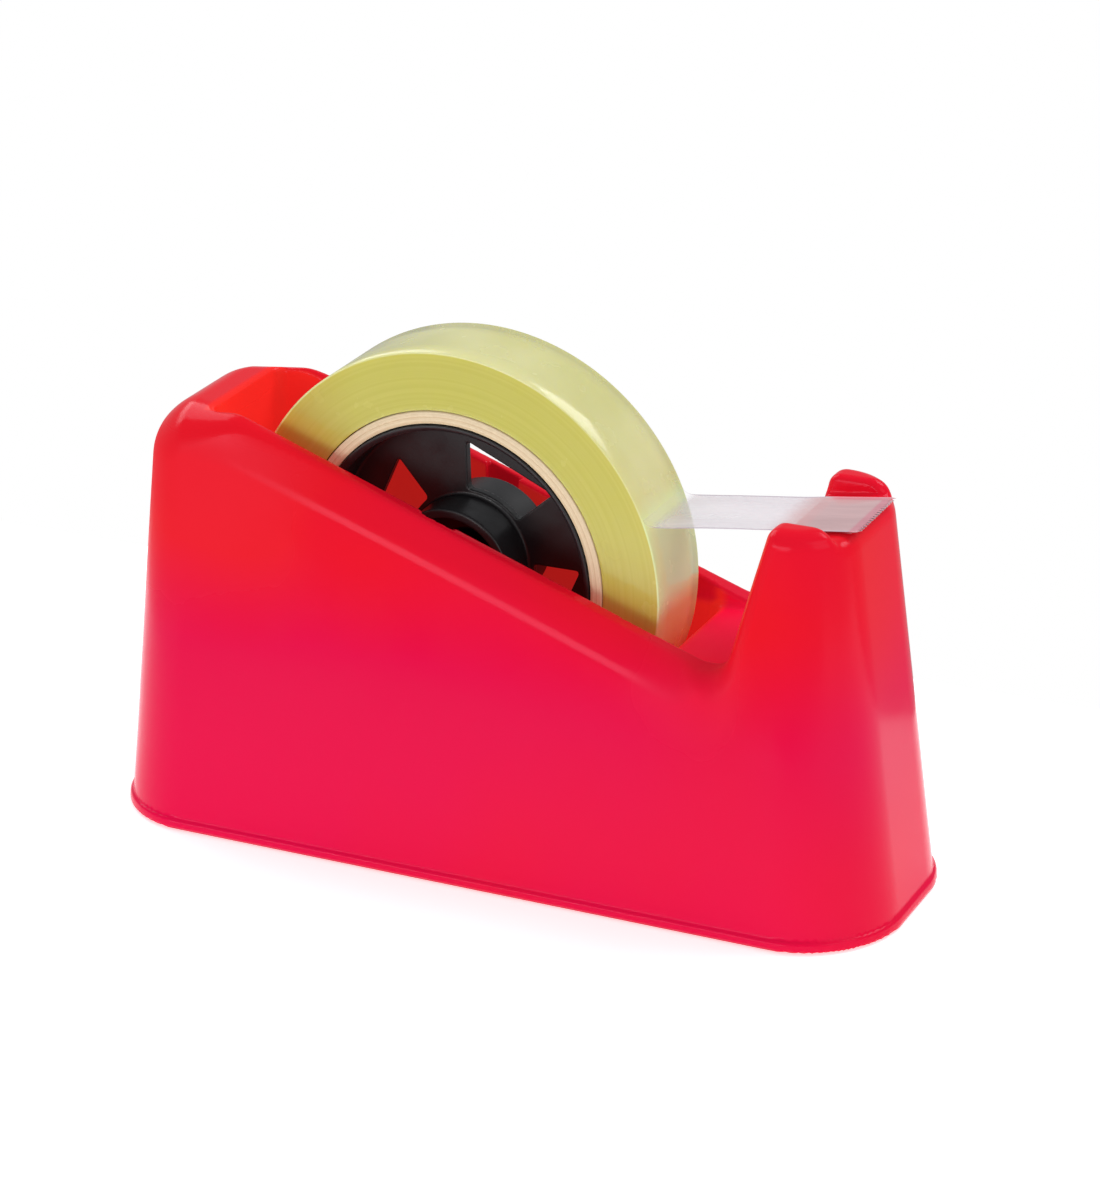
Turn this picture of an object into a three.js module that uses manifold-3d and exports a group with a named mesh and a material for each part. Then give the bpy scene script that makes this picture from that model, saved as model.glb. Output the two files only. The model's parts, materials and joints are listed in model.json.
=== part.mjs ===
// A desk dispenser for adhesive tape on 3-inch cores: a moulded shell with a well for the roll, a spoked
// wheel on a lift-out axle, a serrated steel blade on a tower at the front, and ballast under the well.
// Millimetres, +Z up, +X towards the blade, Y across. X is measured from the wheel's axis while the pieces
// are made, and the whole part is then moved so that X = 0 is the middle of the base.
import * as THREE from "three";
import { mergeVertices } from "three/addons/utils/BufferGeometryUtils.js";
import Module from "manifold-3d";

const wasm = await Module();
wasm.setup();

// ---- Driving dimensions ----
const WHEEL_Z = 75.3; // height of the wheel's axis
const CORE_BORE_R = 38.1; // 3-inch core
const CORE_WALL = 3.2;
const ROLL_R = 56.5;
const TAPE_HALF = 12; // half of the 24 mm tape width

const RIM_Z = 0.6; // lower edge of the rim, just off the table
const RIM_TOP = 3.2;
const RIM = { rear: -94.4, front: 120.2, half: 35.15, corner: 25 };
const SHELL = { rear: -93.2, front: 118.8, half: 34.3, corner: 25 }; // above the rim, at SHELL_Z
const SHELL_Z = 4;
const DRAFT = { rear: 0.11, front: 0.116, half: 0.1, corner: 0.1 }; // inward lean per mm of height
const WALL = 3;

const REAR_TOP = 110.8;
const REAR_ROUND = 15;
const EAR_TOP = 104.2;
const EAR_ROUND = 4;
const SLOPE = { z: 91.1, fall: 0.36 }; // lip of the well: height over the axis, and fall per mm forward
const NOTCH = { z: 65.8, round: 8, split: 75 }; // lowest point between the slope and the tower
const TOWER_BACK = { low: [78.6, 65.8], high: [89.3, 104.2], lowRound: 5, highRound: 3.5 };
const SLOPE_START_ROUND = 16; // between the rear top and the slope

const WELL = { rear: -63.7, front: 60.5, floor: 14, half: 17.3, wall: 2.5, round: 24 };
const LEDGE = { z: 64.5, rear: 55, front: 78.2, round: 2, top: [82, 78] }; // the flat between well and tower
// The fold line of the shoulder, the stretch where it has its full size, and the half width at its crest there.
const SHOULDER = { rearX: -55.5, rearZ: 100, frontX: 68.5, frontZ: 62.5, from: -52, to: 66, crest: [20.4, 23] };
const SHOULDER_FADE = { rear: 24, rearOut: 1.5, front: 15, frontOut: 0.5, frontUp: 1 };
const ROOF = { drop: 7.5, ledge: 4, tower: 5 }; // thickness over the hollow
const PAD = { half: 9, below: 14 }; // the thick part of the well's wall around an axle slot

const STRAND = { x: 53.5, z: 94.9, rise: 0.136, end: 108.3, thick: 0.2 }; // the free end of the tape
const BLADE = { rear: 93, half: 11, thick: 0.6, tooth: 1.375, depth: 1.3 };
const FIT = 0.1; // gap under the blade and under the tape
const PLATFORM = { half: 16, back: 82, edge: 105, chamfer: 4.5 }; // the flat between the ears

const AXLE = { r: 4, half: 18.7, chamfer: 0.6, bore: 4.1, slot: 4.3, slotDepth: 1.7, mouth: 130 };
const WHEEL = { ring: [36.0, 37.85], drum: [13.6, 16], boss: 7, web: 1.25, width: 12.3, bossHalf: 16.2 };
// A window's inner edge is an arc and its outer edge is straight. Angles run from +X towards +Z.
const WINDOW = { inner: 17.5, outer: 28.6, middle: 65.25, spread: 50.5, count: 4 };

const COVER = { z: 1.2, thick: 3, gap: 0.4 };
const FOOT = { r: 6, high: 2, sunk: 2.3, gap: 0.4, at: [[-72, 19], [97, 19]] };
const SCREW = { head: 3, headHigh: 1.4, shank: 1.45, length: 13, gap: 0.3, xs: [-45, 80], y: 27.2 };
const CROSS = { reach: 1.9, half: 0.4, deep: 0.9 }; // the screws' drive recess
const POST = { r: 4.5, top: 24, blind: 5 }; // what a screw bites into; the pilot hole stops short of its top
const BALLAST = { rear: -62, front: 58, half: 18.5, corner: 4, gap: 0.4 };
const BLOCK = { rear: 66, front: 104, half: 18, rearCorner: 3, frontCorner: 5, high: 40 };

const CENTRE_X = (RIM.front + RIM.rear) / 2;
const FAR = 140; // past every face of the object

// ---- Solids: three.js shapes, joined and cut as closed meshes ----
function solid(geometry) {
  const bare = geometry.index ? geometry.toNonIndexed() : geometry.clone();
  bare.deleteAttribute("normal");
  bare.deleteAttribute("uv");
  const merged = mergeVertices(bare);
  const vertProperties = new Float32Array(merged.attributes.position.array);
  const triVerts = new Uint32Array(merged.index.array);
  return new wasm.Manifold(new wasm.Mesh({ numProp: 3, vertProperties, triVerts }));
}

function geometryOf(manifold) {
  const mesh = manifold.getMesh();
  const geometry = new THREE.BufferGeometry();
  geometry.setAttribute("position", new THREE.BufferAttribute(mesh.vertProperties, 3));
  geometry.setIndex(new THREE.BufferAttribute(mesh.triVerts, 1));
  geometry.computeVertexNormals();
  return geometry;
}

const union = (first, ...others) => others.reduce((all, next) => all.add(next), first);
const cut = (first, ...others) => others.reduce((rest, next) => rest.subtract(next), first);

// A closed outline whose corners are [x, y, radius]; a corner with no radius stays sharp.
function outline(corners) {
  const shape = new THREE.Shape();
  const at = (i) => new THREE.Vector2(...corners[(i + corners.length) % corners.length]);
  corners.forEach(([x, y, radius], i) => {
    const here = new THREE.Vector2(x, y);
    const back = at(i - 1).sub(here).normalize();
    const ahead = at(i + 1).sub(here).normalize();
    const half = Math.acos(back.dot(ahead)) / 2;
    const reach = radius ? radius / Math.tan(half) : 0;
    const start = here.clone().addScaledVector(back, reach);
    if (i) shape.lineTo(start.x, start.y);
    else shape.moveTo(start.x, start.y);
    if (!radius) return;
    const end = here.clone().addScaledVector(ahead, reach);
    const inward = back.clone().add(ahead).normalize();
    const centre = here.clone().addScaledVector(inward, radius / Math.sin(half));
    const angle = (p) => Math.atan2(p.y - centre.y, p.x - centre.x);
    shape.absarc(centre.x, centre.y, radius, angle(start), angle(end), back.cross(ahead) > 0);
  });
  return shape;
}

// An outline drawn in X and Z, carried along Y from one side to the other.
function slab(shape, fromY, toY, curveSegments = 4) {
  const depth = toY - fromY;
  const geometry = new THREE.ExtrudeGeometry(shape, { depth, bevelEnabled: false, curveSegments });
  return solid(geometry.rotateX(Math.PI / 2).translate(0, toY, 0));
}

// An outline drawn in X and Y, carried up from one height to another.
function plate(shape, fromZ, toZ, curveSegments = 4) {
  const depth = toZ - fromZ;
  const geometry = new THREE.ExtrudeGeometry(shape, { depth, bevelEnabled: false, curveSegments });
  return solid(geometry.translate(0, 0, fromZ));
}

function box(x0, x1, y0, y1, z0, z1) {
  const geometry = new THREE.BoxGeometry(x1 - x0, y1 - y0, z1 - z0);
  return solid(geometry.translate((x0 + x1) / 2, (y0 + y1) / 2, (z0 + z1) / 2));
}

// A solid skinned over convex sections that all have the same number of points.
function loft(sections) {
  const count = sections[0].length;
  const index = [];
  for (let s = 0; s + 1 < sections.length; s++)
    for (let i = 0; i < count; i++) {
      const a = s * count + i;
      const b = s * count + ((i + 1) % count);
      index.push(a, b, a + count, b, b + count, a + count);
    }
  const last = (sections.length - 1) * count;
  for (let i = 1; i + 1 < count; i++) index.push(0, i + 1, i, last, last + i, last + i + 1);
  const geometry = new THREE.BufferGeometry().setFromPoints(sections.flat());
  geometry.setIndex(index);
  return solid(geometry);
}

// A turned piece about the vertical axis, from a closed [radius, height] profile.
function turned(profile, steps) {
  const points = [...profile, profile[0]].map(([r, z]) => new THREE.Vector2(r, z));
  return new THREE.LatheGeometry(points, steps);
}

const upright = (profile, steps) => turned(profile, steps).rotateX(Math.PI / 2);

// ---- Housing ----
const CORNER_STEPS = 8;

// The shell's plan at one height, drawn in by an inset.
function planSection(base, z, inset = 0, draft = DRAFT, fromZ = SHELL_Z) {
  const rise = z - fromZ;
  const corner = Math.max(base.corner - draft.corner * rise - inset, 1);
  const rear = base.rear + draft.rear * rise + inset + corner;
  const front = base.front - draft.front * rise - inset - corner;
  const half = base.half - draft.half * rise - inset - corner;
  const centres = [[front, half], [rear, half], [rear, -half], [front, -half]];
  return centres.flatMap(([x, y], quarter) =>
    Array.from({ length: CORNER_STEPS }, (_, i) => {
      const angle = (quarter + i / (CORNER_STEPS - 1)) * (Math.PI / 2);
      return new THREE.Vector3(x + corner * Math.cos(angle), y + corner * Math.sin(angle), z);
    }),
  );
}

// The drafted shell up to a top whose edge is rounded all the way about.
function shellTo(top, round, inset = 0, fromZ = RIM_Z) {
  const steps = 4;
  const sections = [planSection(SHELL, fromZ, inset)];
  for (let i = 0; i <= steps; i++) {
    const angle = (i / steps) * (Math.PI / 2);
    const z = top - round + round * Math.sin(angle);
    sections.push(planSection(SHELL, z, inset + round * (1 - Math.cos(angle))));
  }
  return loft(sections);
}

const slopeX = (z) => (SLOPE.z - z) / SLOPE.fall;
const slopeZ = (x) => SLOPE.z - SLOPE.fall * x;
const strandZ = (x) => STRAND.z + STRAND.rise * (x - STRAND.x);
const bladeTopZ = (x) => strandZ(x) - STRAND.thick / 2 - FIT;
const platformZ = (x) => bladeTopZ(x) - BLADE.thick - FIT;

// Everything above the side outline: the rear top, the slope, the notch, the tower's back and the ear tops.
function aboveTheShell() {
  return slab(
    outline([
      [-FAR, REAR_TOP],
      [slopeX(REAR_TOP), REAR_TOP, SLOPE_START_ROUND],
      [slopeX(NOTCH.z), NOTCH.z, NOTCH.round],
      [...TOWER_BACK.low, TOWER_BACK.lowRound],
      [...TOWER_BACK.high, TOWER_BACK.highRound],
      [FAR, EAR_TOP],
      [FAR, FAR],
      [-FAR, FAR],
    ]),
    -FAR,
    FAR,
  );
}

// The shoulder between the side wall and the lip of the well, as a cutter for one side (1 or -1). The wall
// folds inwards at a line that falls towards the front, and the fold dies out at the rear and at the tower.
function shoulderCutter(side) {
  const REACH = 1.3; // the cutter runs this far past the lip
  const fall = (SHOULDER.rearZ - SHOULDER.frontZ) / (SHOULDER.frontX - SHOULDER.rearX);
  const wallY = (z) => SHELL.half - DRAFT.half * (z - SHELL_Z);
  const station = (x, crestY, crestZ) => {
    const foldZ = SHOULDER.rearZ - fall * (x - SHOULDER.rearX);
    const foldY = wallY(foldZ);
    const topY = foldY + (crestY - foldY) * REACH;
    const topZ = foldZ + (crestZ - foldZ) * REACH;
    const section = [[foldY, foldZ], [foldY + FAR, foldZ], [foldY + FAR, topZ], [topY, topZ]];
    const points = section.map(([y, z]) => new THREE.Vector3(x, side * y, z));
    return side > 0 ? points : points.reverse();
  };
  const { rear, rearOut, front, frontOut, frontUp } = SHOULDER_FADE;
  const steps = 10;
  const stations = [station(SHOULDER.from - rear, wallY(REAR_TOP) + rearOut, REAR_TOP)];
  for (let i = 0; i <= steps; i++) {
    const x = THREE.MathUtils.lerp(SHOULDER.from, SHOULDER.to, i / steps);
    stations.push(station(x, THREE.MathUtils.lerp(...SHOULDER.crest, i / steps), slopeZ(x)));
  }
  stations.push(station(SHOULDER.to + front, wallY(NOTCH.z) + frontOut, NOTCH.z + frontUp));
  return loft(stations);
}

function wellShape(grow) {
  const { rear, front, floor, round } = WELL;
  return outline([
    [rear - grow, floor - grow, round + grow],
    [front + grow, floor - grow, round + grow],
    [front + grow, FAR],
    [rear - grow, FAR],
  ]);
}

// The platform between the ears, with the front edge broken where the blade reaches over it.
function platformChannel() {
  const { back, edge, chamfer } = PLATFORM;
  const lowZ = platformZ(edge) - chamfer;
  const front = [[edge, platformZ(edge)], [edge + chamfer, lowZ], [FAR, lowZ], [FAR, FAR]];
  return slab(outline([[back, platformZ(back)], ...front, [back, FAR]]), -PLATFORM.half, PLATFORM.half);
}

// The open slot in one wall of the well that the axle drops into.
function axleSlot(fromY, toY) {
  const shape = new THREE.Shape();
  shape.moveTo(AXLE.slot, AXLE.mouth).lineTo(AXLE.slot, WHEEL_Z);
  shape.absarc(0, WHEEL_Z, AXLE.slot, 0, Math.PI, true);
  shape.lineTo(-AXLE.slot, AXLE.mouth);
  return slab(shape, fromY, toY, 8);
}

const screwPlaces = SCREW.xs.flatMap((x) => [-SCREW.y, SCREW.y].map((y) => [x, y]));
const footPlaces = FOOT.at.flatMap(([x, y]) => [[x, -y], [x, y]]);
const pillar = (x, y, r, z0, z1, steps = 18) =>
  solid(upright([[0, z0], [r, z0], [r, z1], [0, z1]], steps).translate(x, y, 0));

// The space under the shell: inside the outer wall, but outside the well, the slot pads and the screw posts.
function underside() {
  const towerRoof = platformZ(PLATFORM.back) - ROOF.tower;
  const ledgeRoof = NOTCH.z - ROOF.ledge;
  const roof = slab(
    outline([
      [-FAR, -FAR],
      [FAR, -FAR],
      [FAR, towerRoof],
      [92, towerRoof, 3],
      [84, ledgeRoof, 3],
      [68, ledgeRoof - ROOF.drop / 2],
      [60, slopeZ(60) - ROOF.drop],
      [slopeX(REAR_TOP), REAR_TOP - ROOF.drop],
      [-FAR, REAR_TOP - ROOF.drop],
    ]),
    -FAR,
    FAR,
  );
  const inside = shellTo(REAR_TOP - WALL, REAR_ROUND, WALL, -SHELL_Z).intersect(roof);
  const tub = slab(wellShape(WELL.wall), -WELL.half - WELL.wall, WELL.half + WELL.wall);
  const padY = WELL.half + AXLE.slotDepth + WELL.wall;
  const pads = box(-PAD.half, PAD.half, -padY, padY, WHEEL_Z - PAD.below, FAR);
  const postFoot = COVER.z + COVER.thick + SCREW.gap;
  const posts = screwPlaces.map(([x, y]) => pillar(x, y, POST.r, postFoot, POST.top));
  return cut(inside, tub, pads, ...posts);
}

function housing() {
  const behind = box(-FAR, NOTCH.split, -FAR, FAR, -FAR, FAR);
  const ahead = box(NOTCH.split, FAR, -FAR, FAR, -FAR, FAR);
  const rim = loft([planSection(RIM, RIM_Z, 0, DRAFT, RIM_Z), planSection(RIM, RIM_TOP, 0, DRAFT, RIM_Z)]);
  const outer = union(
    shellTo(REAR_TOP, REAR_ROUND).intersect(behind),
    shellTo(EAR_TOP, EAR_ROUND).intersect(ahead),
    rim,
  );
  const lips = cut(outer, aboveTheShell(), shoulderCutter(1), shoulderCutter(-1));
  const overLedge = [[LEDGE.rear, LEDGE.z], [LEDGE.front, LEDGE.z, LEDGE.round], LEDGE.top];
  const ledge = slab(outline([...overLedge, [LEDGE.rear, LEDGE.top[1]]]), -WELL.half, WELL.half);
  const slotTo = WELL.half + AXLE.slotDepth;
  const pilots = screwPlaces.map(([x, y]) => pillar(x, y, SCREW.shank + SCREW.gap, 0, POST.top - POST.blind));
  return cut(
    lips,
    underside(),
    slab(wellShape(0), -WELL.half, WELL.half),
    ledge,
    platformChannel(),
    axleSlot(-slotTo, slotTo),
    ...pilots,
  );
}

// ---- Base ----
function bottomCover() {
  const edge = WALL + COVER.gap;
  const top = COVER.z + COVER.thick;
  const board = loft([planSection(SHELL, COVER.z, edge), planSection(SHELL, top, edge)]);
  const holes = screwPlaces.flatMap(([x, y]) => [
    pillar(x, y, SCREW.shank + SCREW.gap, 0, FAR),
    pillar(x, y, SCREW.head + SCREW.gap, 0, COVER.z + SCREW.headHigh + 2 * SCREW.gap),
  ]);
  const pockets = footPlaces.map(([x, y]) => pillar(x, y, FOOT.r + FOOT.gap, 0, FOOT.sunk));
  return cut(board, ...holes, ...pockets);
}

function coverScrew() {
  const under = COVER.z + SCREW.gap;
  const seat = under + SCREW.headHigh;
  const chamfer = 0.4;
  const head = [[0, under], [SCREW.head - chamfer, under], [SCREW.head, under + chamfer], [SCREW.head, seat]];
  const tip = seat + SCREW.length;
  const shank = [[SCREW.shank, seat], [SCREW.shank, tip - SCREW.shank], [0, tip]];
  const body = solid(upright([...head, ...shank], 16));
  const { reach, half, deep } = CROSS;
  const bar = box(-reach, reach, -half, half, 0, under + deep);
  return cut(body, bar, bar.rotate(0, 0, 90));
}

function rubberFoot() {
  const chamfer = 0.5;
  const profile = [[0, 0], [FOOT.r - chamfer, 0], [FOOT.r, chamfer], [FOOT.r, FOOT.high], [0, FOOT.high]];
  return upright(profile, 20);
}

function ballastSlab() {
  const { rear, front, half, corner, gap } = BALLAST;
  const ends = [[rear, -half], [front, -half], [front, half], [rear, half]];
  const shape = outline(ends.map(([x, y]) => [x, y, corner]));
  return plate(shape, COVER.z + COVER.thick + gap, WELL.floor - WELL.wall - gap);
}

function ballastBlock() {
  const { rear, front, half, rearCorner, frontCorner, high } = BLOCK;
  const atRear = (y) => [rear, y, rearCorner];
  const atFront = (y) => [front, y, frontCorner];
  const bottom = COVER.z + COVER.thick + BALLAST.gap;
  return plate(outline([atRear(-half), atFront(-half), atFront(half), atRear(half)]), bottom, bottom + high);
}

// ---- Blade ----
function blade() {
  const shape = new THREE.Shape();
  const root = STRAND.end - BLADE.depth;
  shape.moveTo(root, BLADE.half).lineTo(BLADE.rear, BLADE.half).lineTo(BLADE.rear, -BLADE.half);
  shape.lineTo(root, -BLADE.half);
  for (let y = -BLADE.half; y < BLADE.half - BLADE.tooth / 2; y += BLADE.tooth)
    shape.lineTo(STRAND.end, y + BLADE.tooth / 2).lineTo(root, y + BLADE.tooth);
  const geometry = new THREE.ExtrudeGeometry(shape, { depth: BLADE.thick, bevelEnabled: false });
  return geometry.translate(-BLADE.rear, 0, -BLADE.thick);
}

// ---- Roll, wheel and axle, about the wheel's axis ----
function wheel() {
  const { ring, drum, boss, web, width, bossHalf } = WHEEL;
  const half = [
    [AXLE.bore, bossHalf], [boss, bossHalf], [boss, web],
    [drum[0], web], [drum[0], width], [drum[1], width], [drum[1], web],
    [ring[0], web], [ring[0], width], [ring[1], width],
  ];
  const profile = [...half.map(([r, y]) => [r, -y]), ...half.reverse()];
  const windows = Array.from({ length: WINDOW.count }, (_, i) => {
    const middle = THREE.MathUtils.degToRad(WINDOW.middle + (i * 360) / WINDOW.count);
    const spread = THREE.MathUtils.degToRad(WINDOW.spread) / 2;
    const reach = WINDOW.outer / Math.cos(spread);
    const corner = (angle) => [reach * Math.cos(angle), reach * Math.sin(angle)];
    const shape = new THREE.Shape();
    shape.moveTo(...corner(middle - spread)).lineTo(...corner(middle + spread));
    shape.absarc(0, 0, WINDOW.inner, middle + spread, middle - spread, true);
    return slab(shape, -width, width, 2);
  });
  return cut(solid(turned(profile, 32)), ...windows);
}

function tube(inner, outer, half, steps) {
  return turned([[inner, -half], [outer, -half], [outer, half], [inner, half]], steps);
}

function axle() {
  const { r, half, chamfer } = AXLE;
  const end = [[r, half - chamfer], [r - chamfer, half], [0, half]];
  return turned([...end.map(([radius, y]) => [radius, -y]).reverse(), ...end], 24);
}

function freeTape() {
  const { x, end, thick } = STRAND;
  const under = (at) => [at, strandZ(at) - thick / 2];
  const over = (at) => [at, strandZ(at) + thick / 2];
  return slab(outline([under(x), under(end), over(end), over(x)]), -TAPE_HALF, TAPE_HALF);
}

// ---- Materials ----
const MATERIALS = {
  shell: { color: 0xe8153f, roughness: 0.25, metalness: 0 },
  dark: { color: 0x1a181a, roughness: 0.35, metalness: 0 },
  steel: { color: 0xb9b9bd, roughness: 0.3, metalness: 1 },
  iron: { color: 0x55565a, roughness: 0.7, metalness: 0.6 },
  rubber: { color: 0x2a2a2c, roughness: 0.9, metalness: 0 },
  paper: { color: 0xe2cba6, roughness: 0.9, metalness: 0 },
  tape: { color: 0xd3cd86, roughness: 0.2, metalness: 0 },
  film: { color: 0xe8e4e4, roughness: 0.15, metalness: 0 },
};

function mesh(name, shape, material) {
  const geometry = shape.isBufferGeometry ? shape : geometryOf(shape);
  const made = new THREE.Mesh(geometry, new THREE.MeshStandardMaterial(MATERIALS[material]));
  made.name = name;
  return made;
}

// ---- Assembly ----
const base = new THREE.Group();
base.add(mesh("housing", housing(), "shell"), mesh("bottom_cover", bottomCover(), "dark"));
base.add(mesh("ballast_slab", ballastSlab(), "iron"), mesh("ballast_block", ballastBlock(), "iron"));
screwPlaces.forEach(([x, y], i) => {
  const screw = mesh(`cover_screw_${i + 1}`, coverScrew(), "steel");
  screw.position.set(x, y, 0);
  base.add(screw);
});
footPlaces.forEach(([x, y], i) => {
  const foot = mesh(`foot_${i + 1}`, rubberFoot(), "rubber");
  foot.position.set(x, y, 0);
  base.add(foot);
});

const cutter = mesh("cutter_blade", blade(), "steel");
cutter.position.set(BLADE.rear, 0, bladeTopZ(BLADE.rear));
cutter.rotation.y = -Math.atan(STRAND.rise);

const coreR = CORE_BORE_R + CORE_WALL;
const roll = new THREE.Group();
roll.position.z = WHEEL_Z;
roll.add(mesh("axle", axle(), "steel"), mesh("reel", wheel(), "dark"));
roll.add(mesh("paper_core", tube(CORE_BORE_R, coreR, TAPE_HALF, 60), "paper"));
roll.add(mesh("tape_roll", tube(coreR + 0.25, ROLL_R, TAPE_HALF, 80), "tape"));

const dispenser = new THREE.Group();
dispenser.name = "tape_dispenser";
dispenser.position.x = -CENTRE_X;
dispenser.add(base, cutter, roll, mesh("tape_strand", freeTape(), "film"));

export default dispenser;
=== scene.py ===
"""A desk dispenser for adhesive tape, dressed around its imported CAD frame.

Shapes are worked out in millimetres, with X measured from the wheel's axis, Y across the tape and Z up from
the table. place() turns them into metres in the row frame. Moulded pieces are the zero surface of a field
(negative inside, in millimetres), so that every edge and inner corner has its own moulded radius.
"""

import json
import math

import bmesh
import bpy
import numpy as np
from mathutils import Matrix, Vector


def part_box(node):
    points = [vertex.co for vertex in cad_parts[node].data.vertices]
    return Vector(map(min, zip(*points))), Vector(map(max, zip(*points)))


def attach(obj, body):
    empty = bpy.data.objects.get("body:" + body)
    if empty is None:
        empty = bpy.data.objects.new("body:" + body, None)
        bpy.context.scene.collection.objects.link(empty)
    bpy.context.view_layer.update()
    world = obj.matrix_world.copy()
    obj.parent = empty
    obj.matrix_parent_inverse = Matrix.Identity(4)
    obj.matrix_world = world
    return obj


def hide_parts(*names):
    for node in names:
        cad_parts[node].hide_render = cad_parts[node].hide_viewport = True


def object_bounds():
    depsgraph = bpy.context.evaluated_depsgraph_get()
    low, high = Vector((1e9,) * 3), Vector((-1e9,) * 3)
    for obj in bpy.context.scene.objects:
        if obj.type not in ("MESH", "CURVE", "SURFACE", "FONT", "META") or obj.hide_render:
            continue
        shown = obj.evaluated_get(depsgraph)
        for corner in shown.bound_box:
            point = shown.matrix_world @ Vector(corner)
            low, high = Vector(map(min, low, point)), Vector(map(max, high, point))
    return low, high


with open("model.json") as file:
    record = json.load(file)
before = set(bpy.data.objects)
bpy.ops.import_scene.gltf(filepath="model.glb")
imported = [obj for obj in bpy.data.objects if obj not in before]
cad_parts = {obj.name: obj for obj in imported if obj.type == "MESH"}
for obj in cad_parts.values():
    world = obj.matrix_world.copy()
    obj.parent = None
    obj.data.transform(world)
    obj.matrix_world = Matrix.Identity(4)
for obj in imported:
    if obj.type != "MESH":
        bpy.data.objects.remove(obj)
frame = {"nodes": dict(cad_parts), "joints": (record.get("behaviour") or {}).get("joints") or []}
cad_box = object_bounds()

# ---- Dimensions from the frame ----
MM = 1000.0
AXIS = next(j for j in frame["joints"] if j["name"] == "reel_spin")["pos_m"]
ORIGIN = np.array([AXIS[0], 0.0, 0.0])


def node_box(name):
    """A CAD node's lowest and highest corners, in millimetres from the wheel's axis."""
    low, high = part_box(name)
    return (np.array(low) - ORIGIN) * MM, (np.array(high) - ORIGIN) * MM


AXIS_Z = AXIS[2] * MM
SHELL_LOW, SHELL_HIGH = node_box("housing")
ROLL_R = node_box("tape_roll")[1][0]
TAPE_HALF = node_box("tape_roll")[1][1]
CORE_R = node_box("paper_core")[1][0]
RING_R = node_box("reel")[1][0]
BOSS_HALF = node_box("reel")[1][1]
PIN_R = node_box("axle")[1][0]
PIN_HALF = node_box("axle")[1][1]
BLADE_LOW, BLADE_HIGH = node_box("cutter_blade")
FILM_LOW, FILM_HIGH = node_box("tape_strand")

# ---- Dimensions of the mouldings ----
RIM_HIGH = 2.6
RIM_OUT = 0.85
LEAN = 0.1  # inward lean of the side walls and of the corners, per mm of height
REAR_LEAN, FRONT_LEAN = 0.11, 0.116
SHELL_Z = 4.0  # height at which the plan below is measured
PLAN_CORNER = 25.0
WALL = 3.0
REAR_TOP = SHELL_HIGH[2]
REAR_ROUND = 16.0
SLOPE_ROUND = 16.0  # where the rear top turns down into the slope
EAR_TOP = 104.2
EAR_ROUND = 3.5
EAR_FACING = 0.27  # cosine between the tower's rear face and the top of its ears
SLOPE_Z = 91.1  # lip of the well over the axis
SLOPE_FALL = 0.36
NOTCH_ROUND = 8.0
NOTCH_MIDDLE = 74.0  # X of the middle of the notch between the slope and the tower
TOWER_LOW = (78.6, 65.8)
TOWER_HIGH = (89.3, 104.2)
WELL_REAR, WELL_FRONT, WELL_FLOOR, WELL_HALF, WELL_ROUND = -63.7, 60.5, 14.0, 17.3, 24.0
LEDGE_Z = 64.5
SHOULDER_REAR = (-55.5, 100.0)  # the fold line on the side wall: X and Z at its two ends
SHOULDER_FRONT = (68.5, 62.5)
CREST = (21.0, 21.8)  # half width over the lips, at the two ends of the fold
FOLD_ROUND = 12.0
LIP_ROUND = 2.0
FILM_RISE = (FILM_HIGH[2] - FILM_LOW[2]) / (FILM_HIGH[0] - FILM_LOW[0])
PLATFORM_HALF = 16.0
PLATFORM_BACK = 82.0
PLATFORM_DROP = 0.9  # from the film down to the platform
FILM_HALF = 0.1  # half of the CAD film's thickness
PILOT_R, PILOT_TOP = 1.75, 19.0  # the cover screws' pilot holes
SLOT_HALF = PIN_R + 0.3
SLOT_Y = PIN_HALF + 0.3


def film_z(x):
    """Height of the free tape at mid thickness."""
    return FILM_LOW[2] + FILM_HALF + FILM_RISE * (x - FILM_LOW[0])


# ---- Field functions ----
def round_max(a, b, radius, facing=0.0):
    """Inside both a and b, with a rounded edge. facing is the cosine between their outward faces."""
    facing = np.clip(facing, -0.98, 0.98)
    one, two = a + radius, b + radius
    between = (one > facing * two) & (two > facing * one)
    arc = np.sqrt(np.maximum(one**2 + two**2 - 2 * facing * one * two, 0) / (1 - facing**2)) - radius
    return np.where(between, arc, np.maximum(a, b))


def round_min(a, b, radius):
    """Inside a or b, with the inner corner between them filled."""
    return -round_max(-a, -b, radius)


def ramp(value, start, end):
    """A smooth step from 0 at start to 1 at end."""
    t = np.clip((value - start) / (end - start), 0, 1)
    return t * t * (3 - 2 * t)


def line_field(x, z, low, high):
    """Distance from the line through two points, positive on its left going from low to high."""
    dx, dz = high[0] - low[0], high[1] - low[1]
    return ((z - low[1]) * dx - (x - low[0]) * dz) / math.hypot(dx, dz)


def plan_field(x, y, z, out):
    """The leaning wall, rounded at the four corners. out grows the plan."""
    rise = z - SHELL_Z
    rear = SHELL_LOW[0] + 1.2 - out + REAR_LEAN * rise
    front = SHELL_HIGH[0] - 1.4 + out - FRONT_LEAN * rise
    half = SHELL_HIGH[1] - RIM_OUT + out - LEAN * rise
    corner = np.maximum(PLAN_CORNER - LEAN * rise + out, 1.0)
    qx = np.abs(x - (rear + front) / 2) - ((front - rear) / 2 - corner)
    qy = np.abs(y) - (half - corner)
    return np.hypot(np.maximum(qx, 0), np.maximum(qy, 0)) + np.minimum(np.maximum(qx, qy), 0) - corner


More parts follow.
